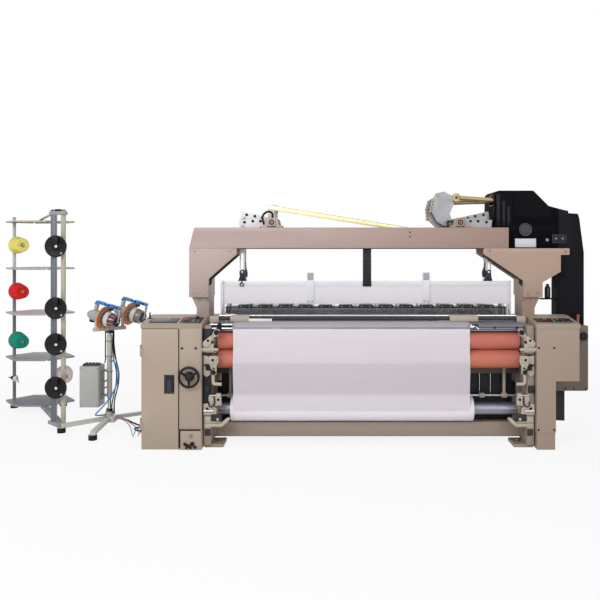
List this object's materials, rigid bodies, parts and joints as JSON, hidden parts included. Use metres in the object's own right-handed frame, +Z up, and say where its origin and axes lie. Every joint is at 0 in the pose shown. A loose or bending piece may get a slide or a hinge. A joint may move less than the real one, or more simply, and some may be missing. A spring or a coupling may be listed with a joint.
{
  "type": "power loom",
  "caption": "Wide jet power loom with an overhead dobby lever motion, cloth take-up, warp beam, stand-mounted weft feeders and a yarn creel.",
  "frame": {"origin": "centre of the rectangle of the four anchor holes, on the floor", "axes": "+X to the weaver's right along the loom's width, +Y away from the weaver, +Z up"},
  "size_m": [5.144, 1.776, 1.986],
  "materials": {
    "frame_paint": "satin beige paint on cast iron",
    "cover_paint": "fine textured beige paint on sheet steel",
    "gantry_paint": "satin pinkish tan paint",
    "console_paint": "fine textured beige paint",
    "bright_steel": "ground steel",
    "dark_steel": "oiled dark steel",
    "orange_rubber": "ribbed orange-red rubber",
    "woven_cloth": "pale plain weave",
    "warp_yarn": "parallel pale yarns",
    "heald_aluminium": "anodised aluminium and steel healds",
    "guard_white": "white paint",
    "lever_steel": "zinc-plated steel plate",
    "yellow_zinc": "yellow passivated zinc",
    "rod_brass": "yellow passivated round bar",
    "dobby_black": "gloss black paint",
    "black_plastic": "moulded black plastic",
    "red_plastic": "moulded red plastic",
    "motor_paint": "dark grey paint",
    "clear_plastic": "translucent bottle",
    "feeder_plastic": "moulded grey and blue plastic",
    "flyer_orange": "moulded orange plastic",
    "box_grey": "light grey paint",
    "stand_silver": "silver grey paint",
    "creel_grey": "grey and tan paint",
    "cone_yarn": "cross-wound yarn",
    "hose_blue": "blue polyurethane hose",
    "hose_red": "red polyurethane hose",
    "cable_black": "black cable sheath"
  },
  "bodies": {
    "root": {"side_frame_left": "frame_paint", "side_frame_right": "frame_paint", "cross_beams": "frame_paint", "breast_beam": "frame_paint", "temple_bar": "dark_steel", "gantry_beams": "gantry_paint", "gantry_head_left": "gantry_paint", "gantry_head_right": "gantry_paint", "crank_bearings": "gantry_paint", "heald_guard": "guard_white", "cloth": "woven_cloth", "warp_sheet": "warp_yarn", "drop_wire_unit": "bright_steel", "control_cabinet": "cover_paint", "console_left": "console_paint", "side_cover_right": "cover_paint", "console_right": "console_paint", "drive_cover": "cover_paint", "main_motor": "motor_paint", "dobby_housing": "dobby_black", "dobby_belt_cover": "dobby_black", "grease_bottle": "clear_plastic", "feeder_stand": "stand_silver", "stand_control_box": "box_grey", "weft_feeders": "feeder_plastic", "creel_frame": "creel_grey", "yarn_cones": "cone_yarn", "yarn_tensioners": "black_plastic", "hose_blue_loop": "hose_blue", "hose_blue": "hose_blue", "hose_red": "hose_red", "signal_cable": "cable_black", "air_tank": "motor_paint"},
    "door": {"cabinet_door": "cover_paint"},
    "latch": {"door_latch": "black_plastic"},
    "handwheel": {"handwheel": "black_plastic"},
    "button_left": {"stop_button_left": "red_plastic"},
    "button_right": {"stop_button_right": "red_plastic"},
    "sley": {"sley": "bright_steel", "reed": "dark_steel"},
    "upper_roller": {"upper_roller": "orange_rubber"},
    "lower_roller": {"lower_roller": "orange_rubber"},
    "cloth_roller": {"cloth_roller": "bright_steel", "cloth_roll": "woven_cloth"},
    "warp_beam": {"warp_beam": "bright_steel", "warp_winding": "warp_yarn"},
    "tension_levers": {"tension_levers": "dark_steel"},
    "backrest": {"backrest_roller": "bright_steel"},
    "flyer_1": {"feeder_flyer_1": "flyer_orange"},
    "flyer_2": {"feeder_flyer_2": "flyer_orange"},
    "heald_frames_front": {"heald_frames_front": "heald_aluminium"},
    "left_cranks_front": {"left_cranks_front": "lever_steel"},
    "right_cranks_front": {"right_cranks_front": "lever_steel"},
    "coupling_bars_front": {"coupling_bars_front": "yellow_zinc"},
    "dobby_rods_front": {"dobby_rods_front": "rod_brass"},
    "heald_frames_back": {"heald_frames_back": "heald_aluminium"},
    "left_cranks_back": {"left_cranks_back": "lever_steel"},
    "right_cranks_back": {"right_cranks_back": "lever_steel"},
    "coupling_bars_back": {"coupling_bars_back": "yellow_zinc"},
    "dobby_rods_back": {"dobby_rods_back": "rod_brass"}
  },
  "joints": [
    {"name": "door_hinge", "type": "hinge", "parent": "root", "child": "door", "pos_m": [-1.7145, -0.6545, 0.455], "axis": [0, 0, -1], "range_deg": [0, 110]},
    {"name": "latch_hinge", "type": "hinge", "parent": "door", "child": "latch", "pos_m": [-1.524, -0.644, 0.4925], "axis": [0, 0, -1], "range_deg": [0, 30], "stiffness_Nm_per_rad": 0.5},
    {"name": "handwheel_turn", "type": "hinge", "parent": "root", "child": "handwheel", "pos_m": [-1.345, -0.692, 0.552], "axis": [0, 1, 0], "continuous": true},
    {"name": "button_left_press", "type": "slide", "parent": "root", "child": "button_left", "axis": [0, -0.1201, 0.9928], "range_m": [-0.004, 0], "stiffness_N_per_m": 900},
    {"name": "button_right_press", "type": "slide", "parent": "root", "child": "button_right", "axis": [0, -0.1201, 0.9928], "range_m": [-0.004, 0], "stiffness_N_per_m": 900},
    {"name": "sley_swing", "type": "hinge", "parent": "root", "child": "sley", "pos_m": [0, -0.11, 0.64], "axis": [1, 0, 0], "range_deg": [0, 14.6]},
    {"name": "lower_roller_turn", "type": "hinge", "parent": "root", "child": "lower_roller", "pos_m": [0, -0.482, 0.66], "axis": [1, 0, 0], "continuous": true},
    {"name": "upper_roller_turn", "type": "hinge", "parent": "root", "child": "upper_roller", "pos_m": [0, -0.482, 0.806], "axis": [1, 0, 0], "continuous": true},
    {"name": "cloth_roller_turn", "type": "hinge", "parent": "root", "child": "cloth_roller", "pos_m": [0, -0.462, 0.272], "axis": [1, 0, 0], "continuous": true},
    {"name": "warp_beam_turn", "type": "hinge", "parent": "root", "child": "warp_beam", "pos_m": [0, 0.62, 0.48], "axis": [1, 0, 0], "continuous": true},
    {"name": "tension_lever_swing", "type": "hinge", "parent": "root", "child": "tension_levers", "pos_m": [0, 0.52, 0.84], "axis": [1, 0, 0], "range_deg": [-2.5, 2.5], "stiffness_Nm_per_rad": 40000},
    {"name": "backrest_turn", "type": "hinge", "parent": "tension_levers", "child": "backrest", "pos_m": [0, 0.65, 0.905], "axis": [1, 0, 0], "continuous": true},
    {"name": "flyer_1_turn", "type": "hinge", "parent": "root", "child": "flyer_1", "pos_m": [-2.171, 0.014, 0.921], "axis": [0.9192, -0.3345, -0.2079], "continuous": true},
    {"name": "flyer_2_turn", "type": "hinge", "parent": "root", "child": "flyer_2", "pos_m": [-1.991, 0.173, 0.941], "axis": [0.9192, -0.3345, -0.2079], "continuous": true},
    {"name": "heald_lift_front", "type": "slide", "parent": "root", "child": "heald_frames_front", "axis": [0, 0, 1], "range_m": [-0.015, 0.085]},
    {"name": "left_crank_turn_front", "type": "hinge", "parent": "root", "child": "left_cranks_front", "pos_m": [-0.77, 0, 1.722], "axis": [0, 1, 0], "range_deg": [-3.4, 19.28]},
    {"name": "right_crank_turn_front", "type": "hinge", "parent": "root", "child": "right_cranks_front", "pos_m": [0.77, 0, 1.722], "axis": [0, 1, 0], "range_deg": [-19.28, 3.4]},
    {"name": "coupling_bar_slide_front", "type": "slide", "parent": "root", "child": "coupling_bars_front", "axis": [1, 0, 0], "range_m": [-0.0075, 0.0425]},
    {"name": "dobby_rod_swivel_front", "type": "hinge", "parent": "right_cranks_front", "child": "dobby_rods_front", "pos_m": [0.60562, 0, 1.93989], "axis": [0, 1, 0], "range_deg": [-2.12, 12]},
    {"name": "heald_lift_back", "type": "slide", "parent": "root", "child": "heald_frames_back", "axis": [0, 0, 1], "range_m": [-0.085, 0.015]},
    {"name": "left_crank_turn_back", "type": "hinge", "parent": "root", "child": "left_cranks_back", "pos_m": [-0.77, 0, 1.722], "axis": [0, 1, 0], "range_deg": [-19.28, 3.4]},
    {"name": "right_crank_turn_back", "type": "hinge", "parent": "root", "child": "right_cranks_back", "pos_m": [0.77, 0, 1.722], "axis": [0, 1, 0], "range_deg": [-3.4, 19.28]},
    {"name": "coupling_bar_slide_back", "type": "slide", "parent": "root", "child": "coupling_bars_back", "axis": [1, 0, 0], "range_m": [-0.0425, 0.0075]},
    {"name": "dobby_rod_swivel_back", "type": "hinge", "parent": "right_cranks_back", "child": "dobby_rods_back", "pos_m": [0.5521, 0, 1.88638], "axis": [0, 1, 0], "range_deg": [-12, 2.12]}
  ],
  "couplings": [
    {"joint": "upper_roller_turn", "follows": "lower_roller_turn", "ratio": -1},
    {"joint": "cloth_roller_turn", "follows": "lower_roller_turn", "ratio": 0.75532},
    {"joint": "left_crank_turn_front", "follows": "heald_lift_front", "rad_per_m": 3.9587},
    {"joint": "right_crank_turn_front", "follows": "heald_lift_front", "rad_per_m": -3.9587},
    {"joint": "coupling_bar_slide_front", "follows": "heald_lift_front", "ratio": 0.5},
    {"joint": "dobby_rod_swivel_front", "follows": "heald_lift_front", "rad_per_m": 2.464},
    {"joint": "left_crank_turn_back", "follows": "heald_lift_back", "rad_per_m": 3.9587},
    {"joint": "right_crank_turn_back", "follows": "heald_lift_back", "rad_per_m": -3.9587},
    {"joint": "coupling_bar_slide_back", "follows": "heald_lift_back", "ratio": 0.5},
    {"joint": "dobby_rod_swivel_back", "follows": "heald_lift_back", "rad_per_m": 2.464}
  ]
}
